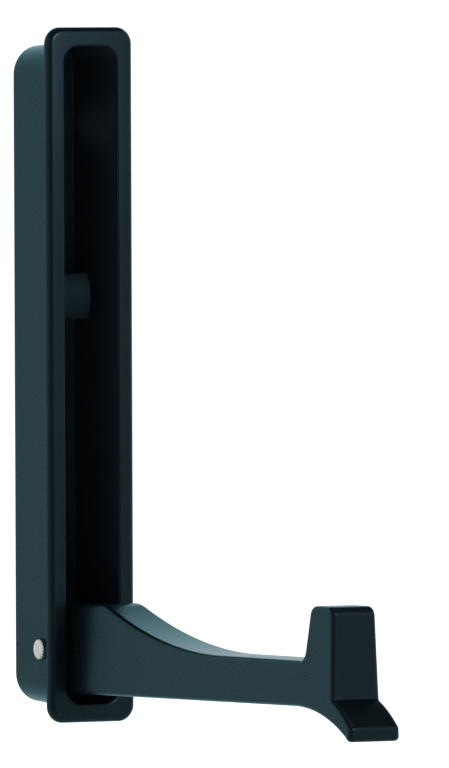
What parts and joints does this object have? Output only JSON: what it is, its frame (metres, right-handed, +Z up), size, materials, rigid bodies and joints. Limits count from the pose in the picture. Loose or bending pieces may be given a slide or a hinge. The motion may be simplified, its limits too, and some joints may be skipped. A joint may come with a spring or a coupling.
{
  "type": "folding sash hook",
  "caption": "Slim recessed case with a thin flange, holding a black arm that turns on a cross pin, folds up into the case and ends in a raised finger and a turned-down lip.",
  "frame": {"origin": "on the flange's rear seating face, on the centre line, midway up the strip of that face below the case body", "axes": "+Z up along the flange's height, -Y out of the front of the recess (the open arm points that way), +X along the pivot pin to the object's right as its open side faces the viewer"},
  "size_m": [0.0186, 0.1176, 0.1302],
  "materials": {
    "black_casting": "satin blue-black coating on die-cast metal",
    "bright_steel": "bright plated steel",
    "spring_steel": "drawn spring wire",
    "bronze": "sintered bronze",
    "black_nylon": "black moulded nylon",
    "rubber": "matt moulded rubber"
  },
  "bodies": {
    "case": {"recessed_case": "black_casting", "pivot_pin": "bright_steel", "stop_pad": "rubber", "rest_buffer": "black_nylon"},
    "arm": {"hook_arm": "black_casting", "pivot_bush": "bronze", "thrust_washer_left": "black_nylon", "thrust_washer_right": "black_nylon", "detent_spring": "spring_steel"},
    "left_ball": {"detent_ball_left": "bright_steel"},
    "right_ball": {"detent_ball_right": "bright_steel"}
  },
  "joints": [
    {"name": "arm_fold", "type": "hinge", "parent": "case", "child": "arm", "pos_m": [0, 0.0051, 0.01238], "axis": [-1, 0, 0], "range_deg": [0, 88.5]},
    {"name": "left_ball_press", "type": "slide", "parent": "arm", "child": "left_ball", "axis": [1, 0, 0], "range_m": [0, 0.0004], "stiffness_N_per_m": 500},
    {"name": "right_ball_press", "type": "slide", "parent": "arm", "child": "right_ball", "axis": [-1, 0, 0], "range_m": [0, 0.0004], "stiffness_N_per_m": 500}
  ]
}
